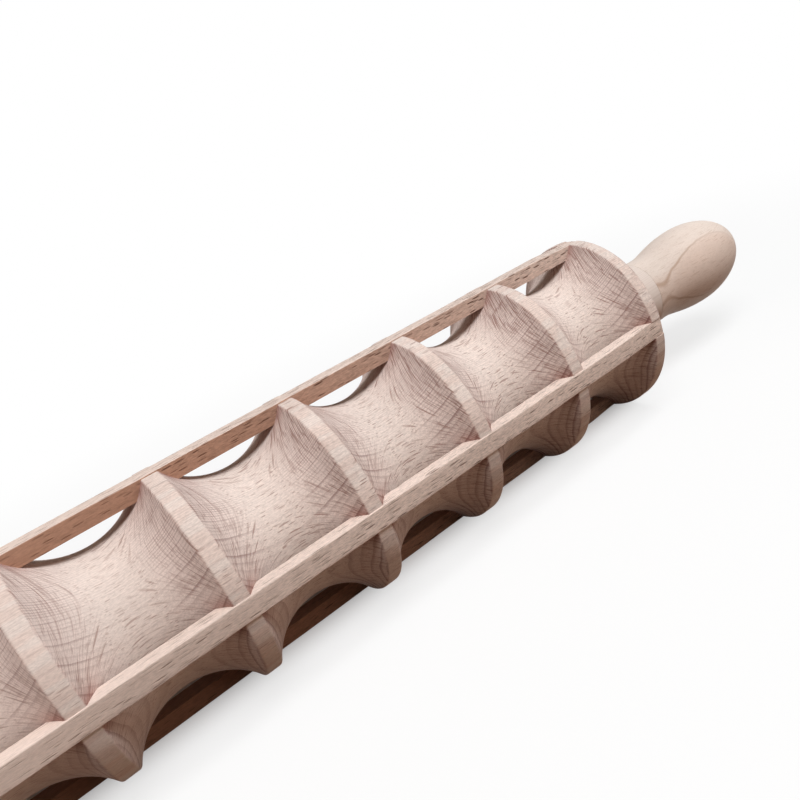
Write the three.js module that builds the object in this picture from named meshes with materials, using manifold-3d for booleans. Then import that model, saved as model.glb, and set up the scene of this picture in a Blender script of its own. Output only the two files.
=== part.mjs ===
// Ravioli rolling pin: a beech roller with cutting rims and inlaid cutting strips,
// turning on a steel axle that joins two egg-shaped handles.
// Millimetres, +Z up, +X along the axle. The pin lies on its bottom strip at Z = 0.

import * as THREE from 'three';
import { mergeVertices } from 'three/addons/utils/BufferGeometryUtils.js';
import Module from 'manifold-3d';

// Driving dimensions of the roller
const pocketsAlong = 8;
const stripCount = 4;
const pocketLength = 30.4;
const rimRadius = 28;
const rimWidth = 4;
const endRimWidth = 4.5;
const rimEdgeRound = 1.2;
const coveFloorRadius = 19;
const shoulderRound = 12;
const bossRadius = 11.5;
const bossLength = 20;

// Driving dimensions of the cutting strips
const stripWidth = 5.1;
const stripDepth = 4.3;
const stripProud = 0.3;

// Driving dimensions of the handles, measured from the foot of the handle
const handleLength = 52;
const handleFootRadius = 11.9;
const handleNeckRadius = 11.2;
const handleNeckAt = 6.5;
const handleBellyRadius = 13.9;
const handleBellyAt = 28;

// Driving dimensions of the axle, the flanged bushes and the thrust washers
const axleRadius = 4;
const axleEndChamfer = 0.8;
const axleInsert = 34;
const axleBoreRoom = 0.8;
const bushWall = 2.6;
const bushLength = 16;
const bushFlangeRadius = 9;
const bushFlangeThickness = 1.6;
const washerRadius = 8.6;
const washerThickness = 1.2;

// Clearances: glued or pressed seats, running fits and the joint between roller and handle
const seatClearance = 0.2;
const runningClearance = 0.15;
const jointGap = 0.4;
const washerGap = 0.2;

// Facets
const rollerSides = 36;
const handleSides = 28;
const fittingSides = 20;
const coveSteps = 6;
const roundSteps = 3;
const shoulderSteps = 5;
const neckSteps = 6;
const domeSteps = 7;

// Sizes that follow from the driving dimensions
const rimPitch = pocketLength + rimWidth;
const rollerHalf = (pocketsAlong * rimPitch - rimWidth) / 2 + endRimWidth;
const bossEnd = rollerHalf + bossLength;
const handleFootAt = bossEnd + jointGap;
const stripFaceRadius = rimRadius + stripProud;
const stripFloorRadius = stripFaceRadius - stripDepth;
const bushRadius = axleRadius + runningClearance + bushWall;
const axleHalf = handleFootAt + axleInsert;
const axisHeight = stripFaceRadius;

// Beech, steel and nylon
const rollerBeech = new THREE.MeshStandardMaterial({ color: 0xd6bcaa, roughness: 0.75, metalness: 0 });
const stripBeech = new THREE.MeshStandardMaterial({ color: 0xd2b8a3, roughness: 0.75, metalness: 0 });
const handleBeech = new THREE.MeshStandardMaterial({ color: 0xdfc9b4, roughness: 0.65, metalness: 0 });
const axleSteel = new THREE.MeshStandardMaterial({ color: 0xb9bcc0, roughness: 0.3, metalness: 1 });
const bushNylon = new THREE.MeshStandardMaterial({ color: 0xeeece4, roughness: 0.5, metalness: 0 });

const wasm = await Module();
wasm.setup();

// A point of a turned profile: distance along the axle, then radius.
function at(x, radius) {
  return new THREE.Vector2(radius, x);
}

// Points of an arc in the profile plane, from one angle to another, both ends included.
function arc(centreX, centreRadius, radiusX, radiusR, fromAngle, toAngle, steps) {
  const points = [];
  for (let step = 0; step <= steps; step += 1) {
    const angle = fromAngle + ((toAngle - fromAngle) * step) / steps;
    points.push(at(centreX + radiusX * Math.cos(angle), centreRadius + radiusR * Math.sin(angle)));
  }
  return points;
}

// The same profile seen in a mirror at the middle of the pin, in the order that keeps it facing out.
function mirrored(profile) {
  return profile.map((point) => at(-point.y, point.x)).reverse();
}

// Turn a profile about the axle, with a whole ring of vertices shared at the seam.
function turned(profile, sides) {
  const geometry = new THREE.LatheGeometry(profile, sides);
  geometry.rotateZ(-Math.PI / 2);
  geometry.rotateX(Math.PI / 2);
  return geometry;
}

function welded(geometry) {
  const copy = geometry.clone();
  copy.deleteAttribute('normal');
  copy.deleteAttribute('uv');
  return mergeVertices(copy, 1e-4);
}

function toSolid(geometry) {
  const closed = welded(geometry);
  return new wasm.Manifold(new wasm.Mesh({
    numProp: 3,
    vertProperties: new Float32Array(closed.attributes.position.array),
    triVerts: new Uint32Array(closed.index.array),
  }));
}

function toGeometry(solid) {
  const mesh = solid.getMesh();
  const geometry = new THREE.BufferGeometry();
  geometry.setAttribute('position', new THREE.BufferAttribute(mesh.vertProperties, 3));
  geometry.setIndex(new THREE.BufferAttribute(mesh.triVerts, 1));
  geometry.computeVertexNormals();
  return geometry;
}

// The concave floor of one pocket, a circular arc from rim to rim, without its two end points.
function coveProfile(middle) {
  const depth = rimRadius - coveFloorRadius;
  const half = pocketLength / 2;
  const radius = (half * half + depth * depth) / (2 * depth);
  const sweep = Math.atan2(half, radius - depth);
  const down = -Math.PI / 2;
  const centre = coveFloorRadius + radius;
  return arc(middle, centre, radius, radius, down - sweep, down + sweep, coveSteps).slice(1, -1);
}

// From the rounded edge of the end rim, down the hollow shoulder and along the boss to the handle joint.
function shoulderProfile() {
  const roundX = rollerHalf - rimEdgeRound;
  const roundR = rimRadius - rimEdgeRound;
  const hollowX = rollerHalf + shoulderRound;
  const hollowR = bossRadius + shoulderRound;
  return [
    ...arc(roundX, roundR, rimEdgeRound, rimEdgeRound, Math.PI / 2, 0, roundSteps),
    ...arc(hollowX, hollowR, shoulderRound, shoulderRound, Math.PI, 1.5 * Math.PI, shoulderSteps),
    at(bossEnd, bossRadius),
  ];
}

// The stepped bore of one roller end: flange recess, bush seat, then room for the axle.
function boreProfile() {
  const recessRadius = bushFlangeRadius + seatClearance;
  const recessFloor = bossEnd - bushFlangeThickness - seatClearance;
  const seatRadius = bushRadius + seatClearance;
  const seatFloor = bossEnd - bushLength - seatClearance;
  return [
    at(bossEnd, recessRadius),
    at(recessFloor, recessRadius),
    at(recessFloor, seatRadius),
    at(seatFloor, seatRadius),
    at(seatFloor, axleRadius + axleBoreRoom),
  ];
}

// Side outline of a cutting strip, its outer corners rounded like the end rims.
function stripOutline(clearance) {
  const half = rollerHalf;
  const low = stripFloorRadius - clearance;
  const high = stripFaceRadius;
  const outline = new THREE.Shape();
  outline.moveTo(-half, low);
  outline.lineTo(half, low);
  outline.lineTo(half, high - rimEdgeRound);
  outline.absarc(half - rimEdgeRound, high - rimEdgeRound, rimEdgeRound, 0, Math.PI / 2, false);
  outline.absarc(-half + rimEdgeRound, high - rimEdgeRound, rimEdgeRound, Math.PI / 2, Math.PI, false);
  outline.closePath();
  return outline;
}

// A strip lying along the top of the roller.
function stripGeometry() {
  const geometry = new THREE.ExtrudeGeometry(stripOutline(0), {
    depth: stripWidth,
    bevelEnabled: false,
    curveSegments: roundSteps,
  });
  geometry.translate(0, 0, -stripWidth / 2);
  geometry.rotateX(Math.PI / 2);
  return geometry;
}

// The slot that a strip lies in, open at both ends of the roller and outwards.
function slotGeometry() {
  const floor = stripFloorRadius - seatClearance;
  const roof = stripFaceRadius + rimEdgeRound;
  const length = 2 * (rollerHalf + rimEdgeRound);
  const slot = new THREE.BoxGeometry(length, stripWidth + 2 * seatClearance, roof - floor);
  slot.translate(0, 0, (roof + floor) / 2);
  return slot;
}

function stripAngle(index) {
  return (index * 2 * Math.PI) / stripCount;
}

function rollerGeometry() {
  const outside = [...mirrored(shoulderProfile())];
  const firstRim = -rollerHalf + endRimWidth - rimWidth / 2;
  for (let pocket = 0; pocket < pocketsAlong; pocket += 1) {
    const rim = firstRim + pocket * rimPitch;
    outside.push(at(rim + rimWidth / 2, rimRadius));
    outside.push(...coveProfile(rim + rimPitch / 2));
    outside.push(at(rim + rimPitch - rimWidth / 2, rimRadius));
  }
  outside.push(...shoulderProfile());
  const inside = [...boreProfile(), ...mirrored(boreProfile())];
  let roller = toSolid(turned([...outside, ...inside, outside[0].clone()], rollerSides));
  for (let index = 0; index < stripCount; index += 1) {
    const slot = slotGeometry();
    slot.rotateX(stripAngle(index));
    roller = roller.subtract(toSolid(slot));
  }
  return toGeometry(roller);
}

// Handle on the +X side: blind axle hole, washer recess, foot, neck, belly and domed end.
function handleGeometry() {
  const holeRadius = axleRadius + seatClearance;
  const holeFloor = handleFootAt + axleInsert + seatClearance;
  const recessRadius = washerRadius + seatClearance;
  const recessFloor = bossEnd + washerGap + washerThickness + seatClearance;
  const neck = handleFootAt + handleNeckAt;
  const belly = handleFootAt + handleBellyAt;
  const dome = handleLength - handleBellyAt;
  const swell = (handleBellyAt - handleNeckAt) / 2;
  const footCurve = new THREE.QuadraticBezierCurve(
    at(handleFootAt, handleFootRadius),
    at(handleFootAt + handleNeckAt / 2, handleNeckRadius),
    at(neck, handleNeckRadius),
  );
  const bellyCurve = new THREE.CubicBezierCurve(
    at(neck, handleNeckRadius),
    at(neck + swell / 2, handleNeckRadius),
    at(belly - swell, handleBellyRadius),
    at(belly, handleBellyRadius),
  );
  const profile = [
    at(holeFloor, 0),
    at(holeFloor, holeRadius),
    at(recessFloor, holeRadius),
    at(recessFloor, recessRadius),
    at(handleFootAt, recessRadius),
    ...footCurve.getPoints(neckSteps / 2),
    ...bellyCurve.getPoints(neckSteps).slice(1),
    ...arc(belly, 0, dome, handleBellyRadius, Math.PI / 2, 0, domeSteps).slice(1, -1),
    at(belly + dome, 0),
  ];
  return turned(profile, handleSides);
}

// Steel axle with chamfered ends, reaching into both handles.
function axleGeometry() {
  const chamferRadius = axleRadius - axleEndChamfer;
  const chamferAt = axleHalf - axleEndChamfer;
  return turned([
    at(-axleHalf, 0),
    at(-axleHalf, chamferRadius),
    at(-chamferAt, axleRadius),
    at(chamferAt, axleRadius),
    at(axleHalf, chamferRadius),
    at(axleHalf, 0),
  ], fittingSides);
}

// Flanged bush in the +X end of the roller, its flange flush with the end of the boss.
function bushGeometry() {
  const bore = axleRadius + runningClearance;
  const flangeBack = bossEnd - bushFlangeThickness;
  const tail = bossEnd - bushLength;
  return turned([
    at(tail, bore),
    at(tail, bushRadius),
    at(flangeBack, bushRadius),
    at(flangeBack, bushFlangeRadius),
    at(bossEnd, bushFlangeRadius),
    at(bossEnd, bore),
    at(tail, bore),
  ], fittingSides);
}

// Steel thrust washer on the axle, between the bush flange and the +X handle.
function washerGeometry() {
  const hole = axleRadius + runningClearance;
  const near = bossEnd + washerGap;
  const far = near + washerThickness;
  return turned([
    at(near, hole),
    at(near, washerRadius),
    at(far, washerRadius),
    at(far, hole),
    at(near, hole),
  ], fittingSides);
}

function named(name, geometry, material) {
  const mesh = new THREE.Mesh(geometry, material);
  mesh.name = name;
  return mesh;
}

const pin = new THREE.Group();
pin.position.z = axisHeight;

pin.add(named('roller_core', rollerGeometry(), rollerBeech));
pin.add(named('axle_rod', axleGeometry(), axleSteel));

const stripNames = ['top', 'front', 'bottom', 'rear'];
for (let index = 0; index < stripCount; index += 1) {
  const place = stripNames[index] ?? `${index + 1}`;
  const strip = named(`cutting_strip_${place}`, stripGeometry(), stripBeech);
  strip.rotation.x = stripAngle(index);
  pin.add(strip);
}

// Both ends are alike: the left end is the right end turned half round about Z.
for (const [side, turn] of [['right', 0], ['left', Math.PI]]) {
  const end = new THREE.Group();
  end.rotation.z = turn;
  end.add(named(`bearing_bush_${side}`, bushGeometry(), bushNylon));
  end.add(named(`thrust_washer_${side}`, washerGeometry(), axleSteel));
  end.add(named(`handle_${side}`, handleGeometry(), handleBeech));
  pin.add(end);
}

export default pin;
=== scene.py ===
"""Dressed scene of a beech ravioli rolling pin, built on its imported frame.

The roller, its cutting strips, the handles and the small fittings on the axle are rebuilt here as fine
meshes with a solid beech grain, and the studio repeats the photograph's view on a white ground.
"""

import logging
import math
from dataclasses import dataclass, field
from enum import Enum

import bmesh
import bpy
from mathutils import Matrix, Vector, noise


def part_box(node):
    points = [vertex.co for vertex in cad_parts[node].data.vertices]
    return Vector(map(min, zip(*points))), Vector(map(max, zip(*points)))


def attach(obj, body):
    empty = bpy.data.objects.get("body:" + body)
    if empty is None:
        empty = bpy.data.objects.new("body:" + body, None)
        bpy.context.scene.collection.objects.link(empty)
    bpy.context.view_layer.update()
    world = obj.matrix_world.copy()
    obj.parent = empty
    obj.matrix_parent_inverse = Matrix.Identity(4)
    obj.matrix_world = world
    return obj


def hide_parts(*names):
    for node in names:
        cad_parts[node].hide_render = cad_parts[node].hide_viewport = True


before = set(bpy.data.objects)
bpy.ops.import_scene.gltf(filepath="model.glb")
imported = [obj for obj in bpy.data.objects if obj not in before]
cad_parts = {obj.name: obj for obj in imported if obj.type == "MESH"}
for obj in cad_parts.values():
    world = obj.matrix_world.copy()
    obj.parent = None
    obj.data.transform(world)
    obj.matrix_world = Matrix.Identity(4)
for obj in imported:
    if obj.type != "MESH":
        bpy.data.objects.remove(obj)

LOG = logging.getLogger("ravioli_pin")
MM = 0.001
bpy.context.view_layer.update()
HALF_TURN = Matrix.Rotation(math.pi, 4, "Z")

Pair = tuple[float, float]
Triple = tuple[float, float, float]
Profile = list[Pair]
Colour = Triple
Mesh = bpy.types.Mesh
Object = bpy.types.Object
Material = bpy.types.Material
Node = bpy.types.Node
Socket = bpy.types.NodeSocket
Value = Socket | float | tuple

WHITE: Colour = (1.0, 1.0, 1.0)


class PinEnd(Enum):
    """The two ends of the pin."""

    RIGHT = "right"
    LEFT = "left"


class Body(Enum):
    """The two bodies of the frame."""

    ROLLER = "roller"
    HANDLES = "handles"


class Slot(Enum):
    """The record's material slots."""

    ROLLER = "roller_beech"
    STRIP = "strip_beech"
    HANDLE = "handle_beech"
    STEEL = "axle_steel"
    NYLON = "bush_nylon"


def arc(centre: Pair, radii: Pair, start: float, stop: float, steps: int) -> Profile:
    """Points of an elliptic arc in the profile plane.

    Args:
        centre: Place along the axle and radius of the arc's centre, in millimetres.
        radii: Half widths along the axle and across it.
        start: First angle in degrees.
        stop: Last angle in degrees.
        steps: Number of straight steps.

    Returns:
        The points in order, both ends included.
    """
    points = []
    for step in range(steps + 1):
        angle = math.radians(start + (stop - start) * step / steps)
        points.append((centre[0] + radii[0] * math.cos(angle), centre[1] + radii[1] * math.sin(angle)))
    return points


def curve(controls: Profile, steps: int) -> Profile:
    """Points of a Bezier curve in the profile plane.

    Args:
        controls: Three control points to ease a corner, or four for a swelling.
        steps: Number of straight steps.

    Returns:
        The points in order, both ends included.
    """
    degree = len(controls) - 1
    points = []
    for step in range(steps + 1):
        t = step / steps
        weights = [math.comb(degree, k) * t ** k * (1 - t) ** (degree - k) for k in range(degree + 1)]
        points.append(tuple(sum(w * p[axis] for w, p in zip(weights, controls)) for axis in (0, 1)))
    return points


def tube_faces(rings: int, size: int) -> list[tuple[int, ...]]:
    """Faces between neighbouring rings of points.

    Args:
        rings: Number of rings.
        size: Number of points in each.

    Returns:
        The faces, as indices of the points.
    """
    faces = []
    for ring in range(rings - 1):
        for corner in range(size):
            here = ring * size + corner
            beside = ring * size + (corner + 1) % size
            faces.append((here, beside, beside + size, here + size))
    return faces


def new_mesh(name: str, vertices: list[Triple], faces: list[tuple[int, ...]]) -> Mesh:
    """Make a mesh from points in metres and faces.

    Args:
        name: Name of the mesh.
        vertices: The points.
        faces: The faces, as indices of the points.

    Returns:
        The mesh.
    """
    mesh = bpy.data.meshes.new(name)
    mesh.from_pydata(vertices, [], faces)
    return mesh


def turned_mesh(name: str, profile: Profile, sides: int, axle_height: float) -> Mesh:
    """Turn a profile about the axle.

    Args:
        name: Name of the mesh.
        profile: Points as place along the axle and radius, in millimetres.
        sides: Number of sides round the axle.
        axle_height: Height of the axle above the ground, in millimetres.

    Returns:
        A mesh with its doubles merged.
    """
    vertices = []
    for along, radius in profile:
        for side in range(sides):
            angle = 2 * math.pi * side / sides
            across = radius * math.cos(angle)
            height = axle_height + radius * math.sin(angle)
            vertices.append((along * MM, across * MM, height * MM))
    mesh = new_mesh(name, vertices, tube_faces(len(profile), sides))
    weld(mesh)
    return mesh


def weld(mesh: Mesh, distance: float = 0.001 * MM) -> None:
    """Merge the doubles of a mesh and turn its faces outwards.

    Args:
        mesh: The mesh to change.
        distance: Largest gap that is merged, in metres.
    """
    work = bmesh.new()
    work.from_mesh(mesh)
    bmesh.ops.remove_doubles(work, verts=work.verts, dist=distance)
    bmesh.ops.recalc_face_normals(work, faces=work.faces)
    work.to_mesh(mesh)
    work.free()


def smooth(mesh: Mesh, sharp_over: float = 32.0) -> None:
    """Shade a mesh smooth and keep edges sharp that turn by more than so many degrees."""
    mesh.polygons.foreach_set("use_smooth", [True] * len(mesh.polygons))
    mesh.set_sharp_from_angle(angle=math.radians(sharp_over))


def add_object(name: str, mesh: Mesh) -> Object:
    """Put a mesh into the scene as an object at the origin.

    Args:
        name: Name of the object.
        mesh: Its mesh.

    Returns:
        The object.
    """
    obj = bpy.data.objects.new(name, mesh)
    bpy.context.scene.collection.objects.link(obj)
    return obj


def turned_piece(
        name: str, profile: Profile, sides: int, axle_height: float,
        end: PinEnd, material: Material) -> Object:
    """Turn a piece and put it on its end of the pin.

    Args:
        name: Name of the piece.
        profile: Its profile on the right end, in millimetres.
        sides: Number of sides round the axle.
        axle_height: Height of the axle above the ground, in millimetres.
        end: The end that it belongs to.
        material: Its material.

    Returns:
        The finished piece.
    """
    mesh = turned_mesh(name, profile, sides, axle_height)
    if end is PinEnd.LEFT:
        mesh.transform(HALF_TURN)
    smooth(mesh)
    mesh.materials.append(material)
    return add_object(name, mesh)


def settle(obj: Object) -> None:
    """Replace an object's modifiers by the plain mesh that they make.

    Args:
        obj: The object to settle.
    """
    graph = bpy.context.evaluated_depsgraph_get()
    mesh = bpy.data.meshes.new_from_object(obj.evaluated_get(graph), depsgraph=graph)
    obj.modifiers.clear()
    obj.data = mesh


def hand_over(obj: Object, body: Body, nodes: list[str]) -> None:
    """Tie a finished piece to its body and the nodes that it stands for.

    Args:
        obj: The finished piece.
        body: The body that it rides on.
        nodes: The frame's nodes that it replaces.
    """
    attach(obj, body.value)
    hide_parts(*nodes)
    LOG.info("%s: %d faces, rides on %s", obj.name, len(obj.data.polygons), body.value)


class NodeTree:
    """A thin wrapper that adds and joins nodes of a shader or geometry tree."""

    def __init__(self, tree: bpy.types.NodeTree) -> None:
        """Keep the tree that nodes are added to."""
        self.tree = tree

    def add(self, kind: str, **settings: str | bool) -> Node:
        """Add a node.

        Args:
            kind: The node's type name.
            **settings: Properties to set on it.

        Returns:
            The new node.
        """
        node = self.tree.nodes.new(kind)
        for key, value in settings.items():
            setattr(node, key, value)
        return node

    def join(self, value: Value | Material, socket: Socket) -> None:
        """Link a socket to another, or set a plain value on it.

        Args:
            value: An output socket, a number, a colour or a vector.
            socket: The input socket.
        """
        if isinstance(value, Socket):
            self.tree.links.new(value, socket)
        else:
            socket.default_value = value

    def fill(self, node: Node, *values: Value) -> Socket:
        """Join values to a node's inputs in order.

        Args:
            node: The node to fill.
            *values: Sockets or plain values.

        Returns:
            The node's first output.
        """
        for index, value in enumerate(values):
            self.join(value, node.inputs[index])
        return node.outputs[0]

    def math(self, operation: str, *values: Value, clamp: bool = False) -> Socket:
        """Add a math node, with its result kept from 0 to 1 where clamp is set."""
        return self.fill(self.add("ShaderNodeMath", operation=operation, use_clamp=clamp), *values)

    def times(self, result: Value, *others: Value) -> Socket:
        """Multiply values.

        Args:
            result: The first value.
            *others: The values to multiply it by.

        Returns:
            Their product.
        """
        for other in others:
            result = self.math("MULTIPLY", result, other)
        return result

    def size_of(self, value: Value) -> Socket:
        """A value without its sign."""
        return self.math("ABSOLUTE", value)

    def rest(self, share: Value) -> Socket:
        """What a share leaves of 1."""
        return self.math("SUBTRACT", 1.0, share)

    def length(self, first: Value, second: Value) -> Socket:
        """Length of a pair at right angles."""
        return self.math("SQRT", self.math("MULTIPLY_ADD", first, first, self.times(second, second)))

    def ramp(
            self, value: Value, low: float, high: float,
            to_low: float = 0.0, to_high: float = 1.0) -> Socket:
        """Map a value smoothly from one range to another.

        Args:
            value: The value to map.
            low: Start of the range that is read.
            high: End of the range that is read.
            to_low: Result at the start.
            to_high: Result at the end.

        Returns:
            The mapped value.
        """
        node = self.add("ShaderNodeMapRange", interpolation_type="SMOOTHSTEP")
        return self.fill(node, value, low, high, to_low, to_high)

    def fade(self, value: Value, low: float, high: float) -> Socket:
        """Map a value smoothly from 1 at the low end of a range to 0 at its high end."""
        return self.ramp(value, low, high, 1.0, 0.0)

    def vector(self, *parts: Value) -> Socket:
        """Combine three values into a vector."""
        return self.fill(self.add("ShaderNodeCombineXYZ"), *parts)

    def split(self, vector: Socket) -> list[Socket]:
        """Split a vector into its three values.

        Args:
            vector: The vector.

        Returns:
            The three values.
        """
        node = self.add("ShaderNodeSeparateXYZ")
        self.fill(node, vector)
        return list(node.outputs)

    def scaled(self, vector: Socket, factors: Triple) -> Socket:
        """Multiply a vector by a factor on each axis."""
        return self.fill(self.add("ShaderNodeVectorMath", operation="MULTIPLY"), vector, factors)

    def place(self) -> Socket:
        """The place on a piece in millimetres."""
        return self.scaled(self.add("ShaderNodeTexCoord").outputs["Object"], (1 / MM, 1 / MM, 1 / MM))

    def noise(self, vector: Socket, scale: Triple, detail: float = 2.0, roughness: float = 0.5) -> Socket:
        """Add a noise texture.

        Args:
            vector: Where the noise is read.
            scale: Features per unit on each axis.
            detail: Number of finer layers.
            roughness: Strength of the finer layers.

        Returns:
            The noise, about 0 to 1.
        """
        node = self.add("ShaderNodeTexNoise")
        place = self.scaled(vector, scale)
        inputs = {"Vector": place, "Scale": 1.0, "Detail": detail, "Roughness": roughness}
        for label, value in inputs.items():
            self.join(value, node.inputs[label])
        return node.outputs[0]

    def mix(self, share: Value, first: Value, second: Value, blend: str = "MIX") -> Socket:
        """Mix two colours.

        Args:
            share: Share of the second colour.
            first: The first colour or socket.
            second: The second colour or socket.
            blend: Name of the blend mode.

        Returns:
            The mixed colour.
        """
        node = self.add("ShaderNodeMix", data_type="RGBA", blend_type=blend)
        self.join(share, node.inputs["Factor"])
        for value, socket in ((first, node.inputs[6]), (second, node.inputs[7])):
            self.join((*value, 1.0) if isinstance(value, tuple) else value, socket)
        return node.outputs[2]

    def tinted(self, share: Value, colour: Socket, tint: Value) -> Socket:
        """Multiply a colour by a tint where a share says so."""
        return self.mix(share, colour, self.mix(1.0, colour, tint, "MULTIPLY"))


def new_material(name: str) -> tuple[Material, NodeTree, Node]:
    """Make a material with a bare Principled shader.

    Args:
        name: Name of the material.

    Returns:
        The material, its tree and its Principled node.
    """
    material = bpy.data.materials.new(name)
    material.use_nodes = True
    return material, NodeTree(material.node_tree), material.node_tree.nodes["Principled BSDF"]


@dataclass(frozen=True)
class BeechFinish:
    """Unfinished beech as a solid grain, so that each cut shows its own figure. Sizes in millimetres.

    Growth rings are shells round a pith line that lies parallel to the axle. Rays are thin blades that
    stand out from the pith: lines on end grain, curved dashes where a cove cuts through them.
    """

    name: str
    pale: Colour
    late: Colour
    ray: Colour
    end_tint: Colour
    pith_distance: float
    outward: float
    ring_width: float = 1.55
    ring_crowding: float = 1.05
    crowd_from: float = -7.0
    crowd_blend: float = 8.0
    ring_strength: float = 1.0
    long_grain_share: float = 0.3
    ray_size: Triple = (20.0, 0.33, 4.6)
    ray_reach: Pair = (0.0, 0.46)
    ray_strength: float = 0.8
    fine_ray_size: Triple = (9.0, 0.42, 14.0)
    fine_ray_darkness: float = 0.65
    fine_ray_strength: float = 0.88
    pore_size: Pair = (3.8, 0.35)
    pore_reach: Pair = (0.04, 0.46)
    pore_strength: float = 0.75
    grain_size: Pair = (0.9, 0.24)
    grain_depth: float = 0.3
    # Painted shade on the side faces of the top and bottom strips, with fewer pores there.
    side_shade_tint: Colour | None = None
    side_shade_range: Pair = (0.0, 190.0)
    side_shade_beyond: float = 20.0
    side_shade_pore_share: float = 0.4
    sanded: Colour | None = None
    sanded_range: Pair = (141.5, 151.0)
    sanded_share: float = 0.95
    sanded_ring_share: float = 0.25
    # Red-brown glue stain and painted shade on the end-grain rims beside the strips.
    glue_stain_and_shade: Colour | None = None
    stain_and_shade_reach: Pair = (2.4, 7.0)
    stain_and_shade_radius: Pair = (21.0, 26.5)
    rim_range: Pair | None = None
    rim_ring_share: float = 0.36
    rim_pore_share: float = 0.3
    rim_tint: Colour = (0.97, 0.925, 0.91)
    figure_range: Pair = (-70.0, 70.0)
    figure_shares: Pair = (1.0, 1.0)
    wander: float = 1.5
    bump: float = 0.25
    bump_depth: float = 0.15
    roughness: float = 0.68
    specular: float = 0.03
    streak: Pair | None = None
    streak_edge: float = 1.0
    streak_from: float = 163.0
    streak_bend: Pair = (7.0, 0.7)
    streak_waver: Pair = (0.25, 0.5)
    streak_run: Pair = (6.0, 38.0)
    streak_shares: Pair = (0.6, 0.15)
    # Tint beyond the growth line: partly darker wood, partly painted shade on the handle's front side.
    streak_tint_and_shade: Colour = (0.965, 0.91, 0.88)

    def build(self, axle_height: float) -> Material:
        """Build the material for a pin whose axle is so many millimetres above the ground."""
        return BeechGrain(self, axle_height).build()


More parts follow.
